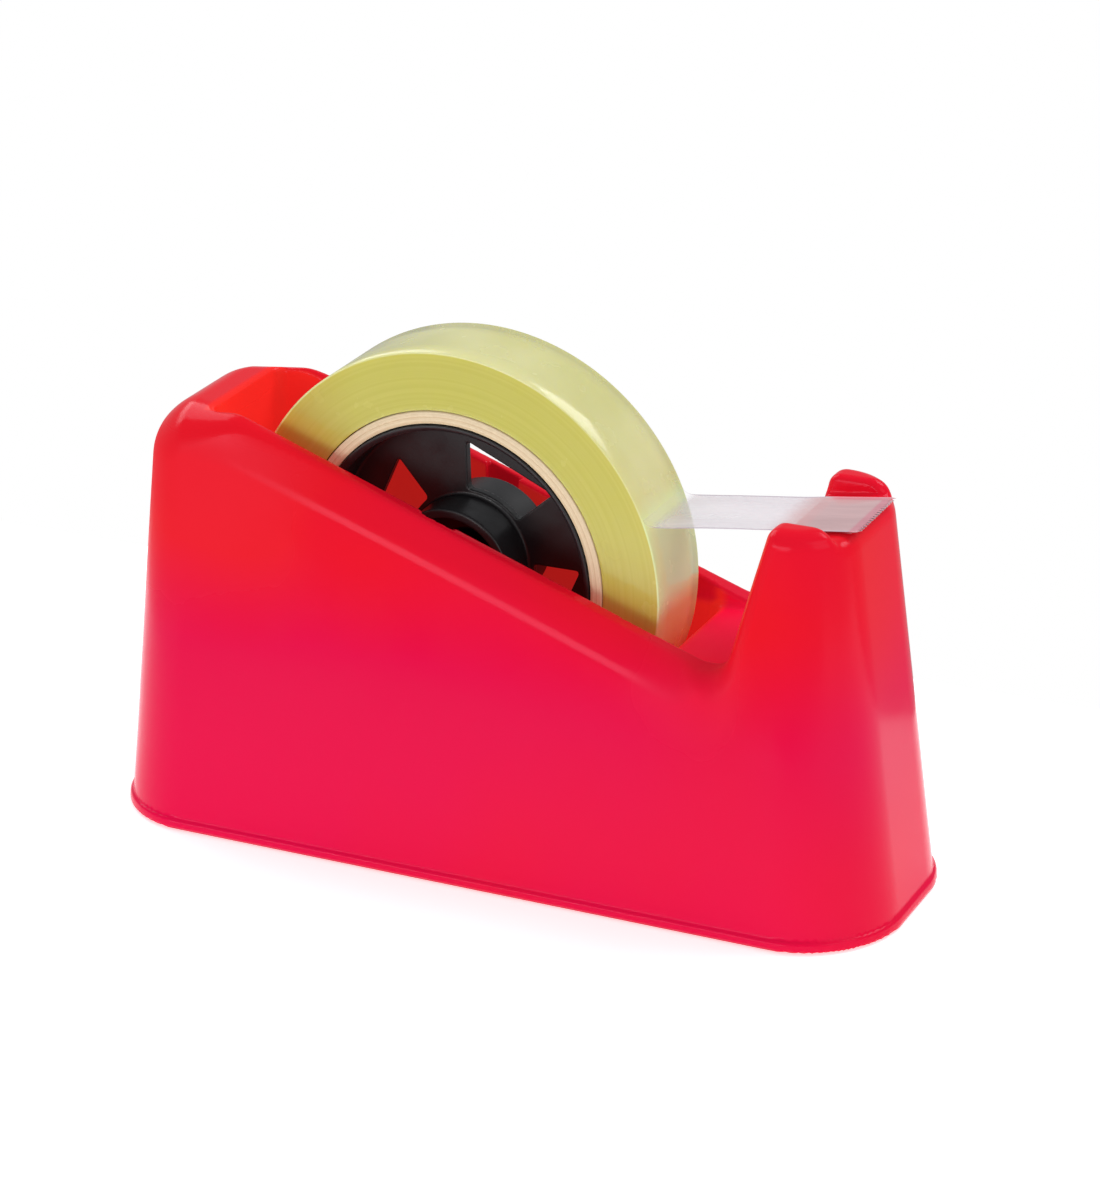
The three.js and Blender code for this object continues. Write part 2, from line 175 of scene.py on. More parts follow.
def outline_field(x, z):
    """The side outline: rear top, slope, notch and tower."""
    slope = (z - SLOPE_Z + SLOPE_FALL * x) / math.hypot(1, SLOPE_FALL)
    rear = round_max(z - REAR_TOP, slope, SLOPE_ROUND, 1 / math.hypot(1, SLOPE_FALL))
    tower = line_field(x, z, TOWER_LOW, TOWER_HIGH)
    tower = round_max(tower, z - EAR_TOP, EAR_ROUND, EAR_FACING)
    return round_min(rear, tower, NOTCH_ROUND)


def wall_y(z):
    """Y of the side wall's outer face."""
    return SHELL_HIGH[1] - RIM_OUT - LEAN * (z - SHELL_Z)


def shoulder_field(x, y, z):
    """The face that folds in from the side wall to the lip, and how far it faces out and up.

    It turns about the fold line until it lies on the wall at the rear and at the tower.
    """
    fall = (SHOULDER_REAR[1] - SHOULDER_FRONT[1]) / (SHOULDER_FRONT[0] - SHOULDER_REAR[0])
    along = np.clip(x, SHOULDER_REAR[0], SHOULDER_FRONT[0])
    fold_z = SHOULDER_REAR[1] - fall * (along - SHOULDER_REAR[0])
    crest_z = SLOPE_Z - SLOPE_FALL * along
    leave = ramp(-x, 48.0, 80.0) + ramp(x, 64.0, 78.0)
    share = (along - SHOULDER_REAR[0]) / (SHOULDER_FRONT[0] - SHOULDER_REAR[0])
    crest = CREST[0] + (CREST[1] - CREST[0]) * share
    crest = crest + leave * (wall_y(crest_z) - crest)
    across, up = crest - wall_y(fold_z), crest_z - fold_z
    length = np.hypot(across, up)
    over = ((np.abs(y) - wall_y(fold_z)) * up - (z - fold_z) * across) / length
    return over - 0.2 * leave, up / length, -across / length


def well_field(x, z, grow=0.0):
    """The space for the roll in side view, negative inside."""
    ends = np.maximum(WELL_REAR - grow - x, x - WELL_FRONT - grow)
    return round_max(ends, WELL_FLOOR - grow - z, WELL_ROUND)


def hollow_field(x, y, z, outline, shoulder):
    """The space under the shell, around the well, the slot pads and the screw posts."""
    roof = outline + 7.5 + 3.5 * ramp(x, 72.0, 84.0)
    space = round_max(plan_field(x, y, z, -WALL), np.maximum(roof, shoulder + WALL), 3.0)
    wall = 2.5
    tub = np.maximum(well_field(x, z, wall), np.abs(y) - WELL_HALF - wall)
    pad_y = np.abs(y) - SLOT_Y - wall
    pads = np.maximum(np.maximum(np.abs(x) - 9.0, pad_y), AXIS_Z - 14.0 - z)
    space = np.maximum(space, -np.minimum(tub, pads))
    for post_x in POST_X:
        post = np.hypot(x - post_x, np.abs(y) - POST_Y) - POST_R
        space = np.maximum(space, -np.maximum(post, POST_FOOT - z))
    return space


def screw_places():
    """Where the cover's screws stand, from their CAD nodes."""
    boxes = [node_box(f"cover_screw_{i}") for i in range(1, 5)]
    return [((low[0] + high[0]) / 2, (low[1] + high[1]) / 2) for low, high in boxes]


POST_X = sorted({round(x, 2) for x, _ in screw_places()})
POST_Y = max(y for _, y in screw_places())
POST_R = 4.5
POST_FOOT = node_box("bottom_cover")[1][2] + 0.3


def housing_field(x, y, z):
    """The shell: walls, fold and outline, less the well, the ledge, the platform and the hollow."""
    outline = outline_field(x, z)
    shoulder, faces_out, faces_up = shoulder_field(x, y, z)
    walls = round_max(plan_field(x, y, z, 0.0), shoulder, FOLD_ROUND, faces_out + LEAN * faces_up)
    edge = LIP_ROUND + (REAR_ROUND - LIP_ROUND) * ramp(-x, 44.0, 78.0) + 2.5 * ramp(x, 70.0, 82.0)
    edge = edge + 4.5 * np.exp(-(((x - NOTCH_MIDDLE) / 7.0) ** 2))
    body = round_max(walls, outline, edge, np.maximum(faces_up, LEAN) * 0.94)
    side = np.abs(y) - WELL_HALF
    well = round_max(well_field(x, z), side, 3.5)
    ledge_front = -line_field(x, z, (TOWER_LOW[0] - 0.4, LEDGE_Z), (TOWER_LOW[0] + 3.5, 78.0))
    ledge = round_max(round_max(LEDGE_Z - z, ledge_front, 3.0), side, 2.0)
    ledge = np.maximum(ledge, 50.0 - x)
    solid = round_max(-well, -ledge, 1.3)
    body = round_max(body, solid, 1.3)
    floor = (film_z(x) - PLATFORM_DROP - z) / math.hypot(1, FILM_RISE)
    channel = round_max(np.maximum(floor, PLATFORM_BACK - x), np.abs(y) - PLATFORM_HALF, 0.8)
    body = round_max(body, -channel, 1.5 + 2.5 * ramp(x, 98.0, 104.0))
    slot_z = np.where(z > AXIS_Z, np.abs(x), np.hypot(x, z - AXIS_Z)) - SLOT_HALF
    slot = np.maximum(slot_z, np.abs(y) - SLOT_Y)
    body = round_max(body, -slot, 0.5)
    rim = round_max(plan_field(x, y, z, RIM_OUT), z - SHELL_LOW[2] - RIM_HIGH, 0.8)
    body = round_min(body, rim, 0.4)
    body = round_max(body, SHELL_LOW[2] - z, 0.4)
    body = np.maximum(body, -hollow_field(x, y, z, outline, shoulder))
    pilots = [np.hypot(x - px, np.abs(y) - POST_Y) - PILOT_R for px in POST_X]
    return np.maximum(body, -np.maximum(np.minimum(*pilots), z - PILOT_TOP))


# ---- The wheel, about its own axis ----
RING_IN = 36.0
DRUM_IN, DRUM_OUT = 13.6, 16.0
BOSS_R = 7.0
WEB_HALF = 1.25
WHEEL_HALF = 12.3
WINDOW_IN, WINDOW_OUT = 17.5, 27.4  # an arc, and a straight edge
WINDOW_MIDDLE, WINDOW_SPREAD = math.radians(65.25), math.radians(50.5)


def wheel_field(x, y, z):
    """The spoked wheel: ring, drum, boss and the web with its windows."""
    radius = np.hypot(x, z - AXIS_Z)
    across = np.abs(y)
    ring = round_max(np.maximum(radius - RING_R, RING_IN - radius), across - WHEEL_HALF, 0.35)
    lead = (across - WHEEL_HALF + 1.1 - (radius - RING_IN)) * math.sqrt(0.5)
    ring = round_max(ring, lead, 0.3)
    drum = round_max(np.maximum(radius - DRUM_OUT, DRUM_IN - radius), across - WHEEL_HALF, 0.5)
    boss = round_max(radius - BOSS_R, across - BOSS_HALF, 0.6)
    quarter = math.pi / 2
    angle = np.mod(np.arctan2(z - AXIS_Z, x) - WINDOW_MIDDLE + quarter / 2, quarter) - quarter / 2
    side = radius * np.sin(np.clip(np.abs(angle) - WINDOW_SPREAD / 2, -1.2, 1.2))
    straight = radius * np.cos(angle) - WINDOW_OUT
    window = round_max(np.maximum(straight, WINDOW_IN - radius), side, 1.2)
    web = round_max(np.maximum(radius - RING_IN - 0.6, across - WEB_HALF), -window, 0.35)
    body = round_min(web, drum, 0.8)
    body = round_min(body, ring, 0.8)
    body = round_min(body, boss, 0.8)
    return round_max(body, PIN_R + 0.1 - radius, 0.3)


# ---- From a field to a mesh ----
CORNERS = [(i, j, k) for i in (0, 1) for j in (0, 1) for k in (0, 1)]


def cell_edges():
    """The twelve edges of a cell, as pairs of its corners."""
    pairs = [(a, b, np.subtract(b, a)) for a in CORNERS for b in CORNERS]
    return [(a, b) for a, b, step in pairs if sum(step) == 1 and min(step) == 0]


def surface_nets(field, low, high, cell):
    """Vertices and quads of the field's zero surface in a box, one vertex in each cell that it crosses."""
    axes = [np.arange(a, b + cell, cell) for a, b in zip(low, high)]
    value = field(*np.meshgrid(*axes, indexing="ij", sparse=True))
    inside = value < 0
    shape = tuple(n - 1 for n in value.shape)

    def at(array, corner):
        return array[tuple(slice(c, c + n) for c, n in zip(corner, shape))]

    count = sum(at(inside, c).astype(np.int8) for c in CORNERS)
    active = (count > 0) & (count < 8)
    cells = np.argwhere(active)
    corner_value = {c: at(value, c)[active] for c in CORNERS}
    total = np.zeros((len(cells), 3))
    hits = np.zeros(len(cells))
    for a, b in cell_edges():
        va, vb = corner_value[a], corner_value[b]
        crosses = (va < 0) != (vb < 0)
        share = np.where(crosses, va / np.where(crosses, va - vb, 1), 0)
        step = np.array(b) - np.array(a)
        total += np.where(crosses[:, None], np.array(a) + share[:, None] * step, 0)
        hits += crosses
    vertices = np.array(low) + cell * (cells + total / hits[:, None])
    number = np.full(shape, -1)
    number[active] = np.arange(len(cells))
    quads = []
    for axis in range(3):
        one, two = (axis + 1) % 3, (axis + 2) % 3
        first = inside[tuple(slice(0, n - (1 if i == axis else 0)) for i, n in enumerate(inside.shape))]
        second = inside[tuple(slice(1 if i == axis else 0, n) for i, n in enumerate(inside.shape))]
        edges = np.argwhere(first != second)
        edges = edges[(edges[:, one] > 0) & (edges[:, two] > 0)]
        edges = edges[(edges[:, one] < shape[one]) & (edges[:, two] < shape[two])]
        around = []
        for back in ((0, 0), (1, 0), (1, 1), (0, 1)):
            place = edges.copy()
            place[:, one] -= back[0]
            place[:, two] -= back[1]
            around.append(number[tuple(place.T)])
        quad = np.stack(around, axis=1)
        leaving = first[tuple(edges.T)]
        quads.append(np.where(leaving[:, None], quad, quad[:, ::-1]))
    return vertices, np.concatenate(quads)


def gradient(field, points, reach=0.03):
    """The field's slope at each point."""
    slopes = []
    for axis in range(3):
        shift = np.zeros(3)
        shift[axis] = reach
        slopes.append((field(*(points + shift).T) - field(*(points - shift).T)) / (2 * reach))
    return np.stack(slopes, axis=1)


def settle(field, points, rounds):
    """Moves points onto the field's zero surface."""
    for _ in range(rounds):
        slope = gradient(field, points)
        steep = np.maximum((slope**2).sum(axis=1), 0.25)
        move = np.clip(field(*points.T) / steep, -0.4, 0.4)
        points = points - move[:, None] * slope
    return points


def place(points):
    """Millimetres from the wheel's axis to metres in the row frame."""
    return np.asarray(points) / MM + ORIGIN


def new_object(name, mesh):
    made = bpy.data.objects.new(name, mesh)
    bpy.context.scene.collection.objects.link(made)
    return made


def moulded(name, field, low, high, cell, keep):
    """A piece from a field: meshed, thinned, settled and given the field's normals."""
    points, quads = surface_nets(field, low, high, cell)
    points = settle(field, points, 3)
    mesh = bpy.data.meshes.new(name)
    mesh.from_pydata(points.tolist(), [], quads.tolist())
    made = new_object(name, mesh)
    thin = made.modifiers.new("thin", "DECIMATE")
    thin.ratio = keep
    evaluated = made.evaluated_get(bpy.context.evaluated_depsgraph_get())
    thinned = bpy.data.meshes.new_from_object(evaluated)
    made.modifiers.clear()
    made.data = thinned
    bpy.data.meshes.remove(mesh)
    thinned.name = name
    points = np.empty(len(thinned.vertices) * 3)
    thinned.vertices.foreach_get("co", points)
    points = settle(field, points.reshape(-1, 3), 2)
    slope = gradient(field, points)
    normals = slope / np.maximum(np.linalg.norm(slope, axis=1), 1e-9)[:, None]
    thinned.vertices.foreach_set("co", place(points).ravel())
    thinned.update()
    thinned.shade_smooth()
    thinned.normals_split_custom_set_from_vertices(normals.tolist())
    return made


def smooth_mesh(name, points, faces, angle=35.0):
    """A piece from points in millimetres, smooth except along edges sharper than the angle."""
    mesh = bpy.data.meshes.new(name)
    mesh.from_pydata(place(points).tolist(), [], faces)
    mesh.validate()
    mesh.shade_smooth()
    mesh.set_sharp_from_angle(angle=math.radians(angle))
    return new_object(name, mesh)


def lathe(name, profile, segments, angle=35.0, wobble=None):
    """A turned piece about the wheel's axis, from a closed loop of (radius, y)."""
    turns = np.linspace(0, 2 * math.pi, segments, endpoint=False)
    loop = np.array(profile)
    points = []
    for turn in turns:
        radius = loop[:, 0] + (wobble(turn, loop) if wobble else 0)
        ring = [radius * math.cos(turn), loop[:, 1], AXIS_Z + radius * math.sin(turn)]
        points.append(np.stack(ring, axis=1))
    count = len(loop)
    faces = []
    for s in range(segments):
        ahead = (s + 1) % segments
        for i in range(count):
            j = (i + 1) % count
            faces.append([s * count + i, ahead * count + i, ahead * count + j, s * count + j])
    made = smooth_mesh(name, np.concatenate(points), faces, angle)
    outward(made)
    return made


def outward(piece):
    """Turns every face of a closed piece to face out."""
    work = bmesh.new()
    work.from_mesh(piece.data)
    bmesh.ops.recalc_face_normals(work, faces=work.faces)
    work.to_mesh(piece.data)
    work.free()


# ---- Materials ----
class Shade:
    """A node material under construction around one Principled shader."""

    def __init__(self, name, color, roughness, **sockets):
        self.material = bpy.data.materials.new(name)
        self.material.use_nodes = True
        self.tree = self.material.node_tree
        self.shader = self.tree.nodes["Principled BSDF"]
        self.shader.inputs["Base Color"].default_value = (*color, 1.0)
        self.shader.inputs["Roughness"].default_value = roughness
        for socket, value in sockets.items():
            self.shader.inputs[socket.replace("_", " ")].default_value = value
        self.where = self.node("ShaderNodeTexCoord").outputs["Object"]

    def node(self, kind, **values):
        made = self.tree.nodes.new(kind)
        for name, value in values.items():
            setattr(made, name, value)
        return made

    def link(self, source, target):
        self.tree.links.new(source, target)
        return self

    def math(self, operation, a, b=0.0, clamp=False):
        made = self.node("ShaderNodeMath", operation=operation, use_clamp=clamp)
        for socket, value in zip(made.inputs, (a, b)):
            if isinstance(value, (int, float)):
                socket.default_value = value
            else:
                self.link(value, socket)
        return made.outputs[0]

    def axes(self):
        split = self.node("ShaderNodeSeparateXYZ")
        self.link(self.where, split.inputs[0])
        return split.outputs

    def room_axes(self):
        """The place in the room, which stays put while the piece moves."""
        split = self.node("ShaderNodeSeparateXYZ")
        self.link(self.node("ShaderNodeNewGeometry").outputs["Position"], split.inputs[0])
        return split.outputs

    def noise(self, scale, detail=2.0, stretch=(1, 1, 1), roughness=0.5):
        mapping = self.node("ShaderNodeMapping")
        mapping.inputs["Scale"].default_value = stretch
        self.link(self.where, mapping.inputs["Vector"])
        made = self.node("ShaderNodeTexNoise")
        made.inputs["Scale"].default_value = scale
        made.inputs["Detail"].default_value = detail
        made.inputs["Roughness"].default_value = roughness
        self.link(mapping.outputs[0], made.inputs["Vector"])
        return made.outputs["Fac"]

    def between(self, value, low, high, to_low=0.0, to_high=1.0, smooth=True):
        made = self.node("ShaderNodeMapRange")
        made.interpolation_type = "SMOOTHSTEP" if smooth else "LINEAR"
        for socket, number in zip(made.inputs[1:5], (low, high, to_low, to_high)):
            socket.default_value = number
        self.link(value, made.inputs[0])
        return made.outputs[0]

    def mix(self, share, first, second):
        made = self.node("ShaderNodeMix", data_type="RGBA")
        for socket, value in zip((made.inputs[0], made.inputs[6], made.inputs[7]), (share, first, second)):
            if isinstance(value, tuple):
                socket.default_value = (*value, 1.0)
            elif isinstance(value, float):
                socket.default_value = value
            else:
                self.link(value, socket)
        return made.outputs[2]

    def color(self, socket):
        return self.link(socket, self.shader.inputs["Base Color"])

    def rough(self, value, low, high):
        return self.link(self.between(value, 0.3, 0.7, low, high, False), self.shader.inputs["Roughness"])

    def bump(self, height, distance, strength=1.0):
        made = self.node("ShaderNodeBump")
        made.inputs["Distance"].default_value = distance
        made.inputs["Strength"].default_value = strength
        self.link(height, made.inputs["Height"])
        previous = self.shader.inputs["Normal"]
        if previous.is_linked:
            self.link(previous.links[0].from_socket, made.inputs["Normal"])
        return self.link(made.outputs[0], self.shader.inputs["Normal"])


# Painted reflection: crimson low down, warmer red towards the top. The third red is painted light on the
# well's walls.
RED_LOW = (0.58, 0.001, 0.044)
RED_HIGH = (0.61, 0.005, 0.013)
RED_WELL_PAINTED_LIGHT = (0.64, 0.018, 0.014)
NOTCH_X = ORIGIN[0] + NOTCH_MIDDLE / MM
REAR_X = ORIGIN[0] - 0.048
SATIN = 0.45  # roughness that the satin zones add


def red_plastic():
    """Glossy red, crimson low down and warmer towards the top as painted reflection, with a painted glow that
    is strongest inside the well.
    """
    sockets = {"Specular_IOR_Level": 0.115, "Specular_Tint": (1.0, 0.72, 1.0, 1.0)}
    shade = Shade("red_plastic", RED_LOW, 0.16, **sockets)
    x, y, height = shade.axes()
    # Painted reflection: a ramp up the height that warms the red towards the top and adds a little painted
    # glow there.
    painted_top_light = shade.between(height, 0.045, 0.085)
    cloud = shade.math("MULTIPLY", shade.math("SUBTRACT", shade.noise(13, 1.5), 0.5), 1.6)
    tone = shade.mix(shade.math("ADD", painted_top_light, cloud, clamp=True), RED_LOW, RED_HIGH)
    # The well's inner walls, which get painted light: a lighter red around the roll and a stronger painted
    # glow.
    well = shade.between(shade.math("ABSOLUTE", y), 0.0178, 0.0172)
    well = shade.math("MULTIPLY", well, shade.between(x, ORIGIN[0] - 0.066, ORIGIN[0] - 0.064))
    well = shade.math("MULTIPLY", well, shade.between(x, ORIGIN[0] + 0.082, ORIGIN[0] + 0.078))
    # Painted light: the lighter red on the well's walls around the roll.
    roll = shade.math("MULTIPLY", well, shade.between(x, ORIGIN[0] + 0.063, ORIGIN[0] + 0.060))
    tone = shade.mix(roll, tone, RED_WELL_PAINTED_LIGHT)
    shade.color(tone)
    # Painted glow: the whole piece gives off its own red though it is no lamp, more in the well and a little
    # more higher up.
    shade.link(tone, shade.shader.inputs["Emission Color"])
    painted_glow = shade.between(well, 0.0, 1.0, 0.25, 0.52, False)
    painted_glow = shade.math("ADD", painted_glow, shade.math("MULTIPLY", painted_top_light, 0.07))
    shade.link(painted_glow, shade.shader.inputs["Emission Strength"])
    behind = shade.between(x, NOTCH_X - 0.024, NOTCH_X)
    ahead = shade.between(x, NOTCH_X + 0.016, NOTCH_X)
    satin = shade.math("MULTIPLY", behind, ahead)
    satin = shade.math("MULTIPLY", satin, shade.between(height, 0.095, 0.070))
    satin = shade.math("MULTIPLY", satin, shade.between(height, 0.038, 0.062))
    rear = shade.between(x, REAR_X + 0.032, REAR_X - 0.016)
    rear = shade.math("MULTIPLY", rear, shade.between(height, 0.042, 0.097))
    rear = shade.math("MULTIPLY", rear, shade.between(height, 0.108, 0.101))
    satin = shade.math("MAXIMUM", satin, shade.math("MULTIPLY", rear, 0.7))
    gloss = shade.between(shade.noise(55, 4), 0.3, 0.7, 0.12, 0.2)
    roughness = shade.math("ADD", gloss, shade.math("MULTIPLY", satin, SATIN))
    shade.link(roughness, shade.shader.inputs["Roughness"])
    shade.bump(shade.noise(900, 2), 0.00002, 0.3)
    shade.bump(shade.noise(22, 1), 0.0004, 0.08)
    return shade.material


def black_plastic():
    shade = Shade("black_plastic", (0.012, 0.011, 0.012), 0.36, Specular_IOR_Level=0.42)
    shade.color(shade.mix(shade.noise(60, 3), (0.008, 0.0075, 0.008), (0.02, 0.018, 0.02)))
    shade.rough(shade.noise(180, 3), 0.3, 0.46)
    shade.bump(shade.noise(1500, 2), 0.00003, 0.5)
    return shade.material


def cover_plastic():
    shade = Shade("cover_plastic", (0.02, 0.02, 0.021), 0.55)
    shade.color(shade.mix(shade.noise(80, 3), (0.014, 0.014, 0.015), (0.03, 0.03, 0.031)))
    shade.rough(shade.noise(300, 3), 0.5, 0.7)
    shade.bump(shade.noise(1800, 3), 0.00008, 0.8)
    return shade.material


def radius_of(shade):
    """Distance from the wheel's axis, in metres."""
    x, _, z = shade.axes()
    dx = shade.math("SUBTRACT", x, AXIS[0])
    dz = shade.math("SUBTRACT", z, AXIS[2])
    squares = shade.math("ADD", shade.math("MULTIPLY", dx, dx), shade.math("MULTIPLY", dz, dz))
    return shade.math("SQRT", squares)


def rings(shade, pitch, seed=0.0):
    """Uneven concentric rings about the wheel's axis, from 0 to 1."""
    made = shade.node("ShaderNodeTexNoise", noise_dimensions="1D")
    made.inputs["Scale"].default_value = 1 / pitch
    made.inputs["Detail"].default_value = 3.0
    shade.link(shade.math("ADD", radius_of(shade), seed), made.inputs["W"])
    return made.outputs["Fac"]


def wound_tape():
    """Clear film wound with yellowed adhesive: olive yellow end faces, paler round the outside.

    The amber shading and the pale patch stand for light in the well, so they stay put in the room.
    """
    sockets = {"Subsurface_Weight": 0.35, "Subsurface_Scale": 0.006}
    sockets |= {"Coat_Weight": 0.3, "Coat_Roughness": 0.08}
    shade = Shade("wound_tape", (0.62, 0.57, 0.17), 0.3, Specular_IOR_Level=0.35, **sockets)
    shade.shader.inputs["Subsurface Radius"].default_value = (1.0, 0.8, 0.25)
    radius = radius_of(shade)
    face = shade.mix(shade.between(rings(shade, 0.0011), 0.3, 0.7), (0.565, 0.53, 0.11), (0.595, 0.56, 0.127))
    x, _, z = shade.room_axes()
    low = shade.between(z, AXIS[2] + 0.02, AXIS[2] - 0.045, 0.0, 0.75)
    left = shade.between(x, AXIS[0] - 0.022, AXIS[0] - 0.056, 0.0, 0.6)
    face = shade.mix(shade.math("MAXIMUM", low, left), face, (0.47, 0.27, 0.02))
    outside = shade.between(radius, ROLL_R / MM - 0.0006, ROLL_R / MM - 0.0003)
    skin = shade.mix(shade.between(shade.noise(38, 2), 0.3, 0.7), (0.66, 0.64, 0.27), (0.74, 0.72, 0.36))
    shade.color(shade.mix(outside, face, skin))
    pale = shade.math("MULTIPLY", outside, shade.between(x, AXIS[0] + 0.046, AXIS[0] + 0.053))
    pale = shade.math("MULTIPLY", pale, shade.between(z, AXIS[2] - 0.006, AXIS[2] + 0.002))
    pale = shade.math("MULTIPLY", pale, shade.between(z, AXIS[2] + 0.026, AXIS[2] + 0.018))
    shade.shader.inputs["Emission Color"].default_value = (0.12, 0.62, 0.42, 1.0)
    shade.link(shade.math("MULTIPLY", pale, 0.3), shade.shader.inputs["Emission Strength"])
    shade.rough(shade.noise(120, 3), 0.14, 0.3)
    shade.bump(rings(shade, 0.0005, 0.3), 0.00004, 0.3)
    shade.bump(shade.noise(40, 1), 0.0002, 0.06)
    return shade.material


def core_board():
    """Spiral-wound board: plies in the end face, fibres on the bore."""
    shade = Shade("core_board", (0.80, 0.62, 0.40), 0.85, Specular_IOR_Level=0.25)
    ply = shade.between(rings(shade, 0.0006, 0.11), 0.4, 0.6)
    fibre = shade.noise(700, 4, (1, 0.35, 1), 0.65)
    tone = shade.math("MULTIPLY", ply, 0.5)
    tone = shade.math("ADD", tone, shade.math("MULTIPLY", fibre, 0.5), clamp=True)
    shade.color(shade.mix(tone, (0.66, 0.49, 0.29), (0.88, 0.74, 0.52)))
    shade.bump(fibre, 0.00025, 0.7)
    shade.bump(ply, 0.0001, 0.5)
    return shade.material


END_X = ORIGIN[0] + FILM_HIGH[0] / MM


def film():
    """One layer of clear film, milky where it is stretched, with painted red where it lies over the platform.
    """
    shade = Shade("clear_film", (0.62, 0.54, 0.64), 0.12, Specular_IOR_Level=0.5, Alpha=0.5)
    streak = shade.noise(45, 4, (0.35, 3.0, 1), 0.6)
    x, y, _ = shade.axes()
    edge = shade.between(shade.math("ABSOLUTE", y), 0.0112, 0.0118)
    tone = shade.mix(streak, (0.75, 0.69, 0.76), (0.90, 0.86, 0.91))
    # Painted red seen through the film where it lies over the platform, pinker at its end and along its far
    # edge near the end.
    end = shade.between(x, END_X - 0.0035, END_X - 0.0025)
    far = shade.between(y, 0.0095, 0.0105)
    far = shade.math("MULTIPLY", far, shade.between(x, END_X - 0.018, END_X - 0.014))
    border = shade.math("MAXIMUM", end, far)
    over = shade.between(x, END_X - 0.026, END_X - 0.018)
    tone = shade.mix(over, tone, (0.78, 0.53, 0.54))
    shade.color(shade.mix(border, shade.mix(edge, tone, (0.60, 0.52, 0.60)), (0.80, 0.36, 0.42)))
    clear = shade.math("ADD", shade.between(streak, 0.3, 0.7, 0.36, 0.58), shade.math("MULTIPLY", edge, 0.3))
    clear = shade.math("ADD", clear, shade.math("MULTIPLY", over, 0.25), clamp=True)
    start = ORIGIN[0] + FILM_LOW[0] / MM
    root = shade.between(x, start, start + 0.004, 0.1, 1.0)
    shade.link(shade.math("MULTIPLY", clear, root), shade.shader.inputs["Alpha"])
    shade.rough(shade.noise(150, 2), 0.08, 0.2)
    shade.bump(shade.noise(60, 3, (0.3, 2.0, 1)), 0.0004, 0.3)
    return shade.material


def steel(name, color, roughness, stretch, scratch=2400):
    shade = Shade(name, color, roughness, Metallic=1.0, Anisotropic=0.4)
    grain = shade.noise(scratch, 3, stretch, 0.6)
    dark = tuple(0.72 * c for c in color)
    light = tuple(min(1.15 * c, 1.0) for c in color)
    shade.color(shade.mix(grain, dark, light))
    shade.rough(grain, roughness * 0.8, roughness * 1.35)
    shade.bump(grain, 0.00002, 0.5)
    return shade.material


def cast_iron():
    shade = Shade("cast_iron", (0.09, 0.09, 0.1), 0.7, Metallic=0.7)
    shade.color(shade.mix(shade.noise(120, 4), (0.05, 0.05, 0.055), (0.14, 0.13, 0.13)))
    shade.rough(shade.noise(200, 3), 0.55, 0.85)
    shade.bump(shade.noise(500, 4), 0.0004, 0.7)
    return shade.material


def foot_rubber():
    shade = Shade("foot_rubber", (0.018, 0.018, 0.019), 0.85, Specular_IOR_Level=0.3)
    shade.color(shade.mix(shade.noise(300, 3), (0.013, 0.013, 0.014), (0.03, 0.03, 0.03)))
    shade.rough(shade.noise(400, 2), 0.75, 0.95)
    shade.bump(shade.noise(1200, 3), 0.0001, 0.6)
    return shade.material


def dress(piece, material, slot, body=None, *nodes):
    """Gives a piece its material, and a new piece its body and the nodes it replaces."""
    piece.data.materials.clear()
    piece.data.materials.append(material)
    if body:
        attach(piece, body)
        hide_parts(*nodes)
    return piece


# ---- Pieces ----
def make_housing():
    margin = np.array([1.3, 1.3, 1.3])
    cell = 0.9
    keep = 0.28
    piece = moulded("shell", housing_field, SHELL_LOW - margin, SHELL_HIGH + margin, cell, keep)
    return dress(piece, red_plastic(), "shell_red", "base", "housing")


def make_wheel():
    low, high = node_box("reel")
    margin = np.array([1.0, 1.0, 1.0])
    cell = 0.5
    piece = moulded("spoked_wheel", wheel_field, low - margin, high + margin, cell, 0.35)
    return dress(piece, black_plastic(), "reel_black", "wheel", "reel")


def rounded_ring(inner, outer, half, edge, steps=3):
    """A closed (radius, y) loop of a flat ring with rounded corners."""
    corners = [(outer - edge, half - edge, 0), (inner + edge, half - edge, 1)]
    corners += [(inner + edge, edge - half, 2), (outer - edge, edge - half, 3)]
    loop = []
    for radius, y, quarter in corners:
        for i in range(steps + 1):
            angle = (quarter + i / steps) * math.pi / 2
            loop.append((radius + edge * math.cos(angle), y + edge * math.sin(angle)))
    return loop


STEP_WIDE = 0.42  # between the small steps in the end faces of the roll


def make_roll():
    """The wound roll, whose end faces have the small steps of winding."""
    rng = np.random.default_rng(7)
    inner = node_box("paper_core")[1][0] + 0.25
    radii = np.arange(inner + 0.3, ROLL_R - 0.25, STEP_WIDE)
    steps = rng.uniform(0.0, 0.02, len(radii))
    far = [(r, TAPE_HALF - s) for r, s in zip(radii, steps)]
    near = [(r, s - TAPE_HALF) for r, s in zip(radii, steps[::-1])]
    top = TAPE_HALF - 0.12
    loop = [(inner, -top), *near, (ROLL_R - 0.12, -TAPE_HALF), (ROLL_R, -top)]
    loop += [(ROLL_R, y) for y in (-6.0, 0.0, 6.0)]
    loop += [(ROLL_R, top), (ROLL_R - 0.12, TAPE_HALF), *far[::-1], (inner, top)]
    piece = lathe("wound_roll", loop, 220, 50.0)
    return dress(piece, wound_tape(), "tape_amber", "wheel", "tape_roll")


def make_core():
    inner = node_box("reel")[1][0] + 0.25
    loop = rounded_ring(inner, CORE_R, TAPE_HALF, 0.35)
    piece = lathe("board_core", loop, 160)
    return dress(piece, core_board(), "core_board", "wheel", "paper_core")


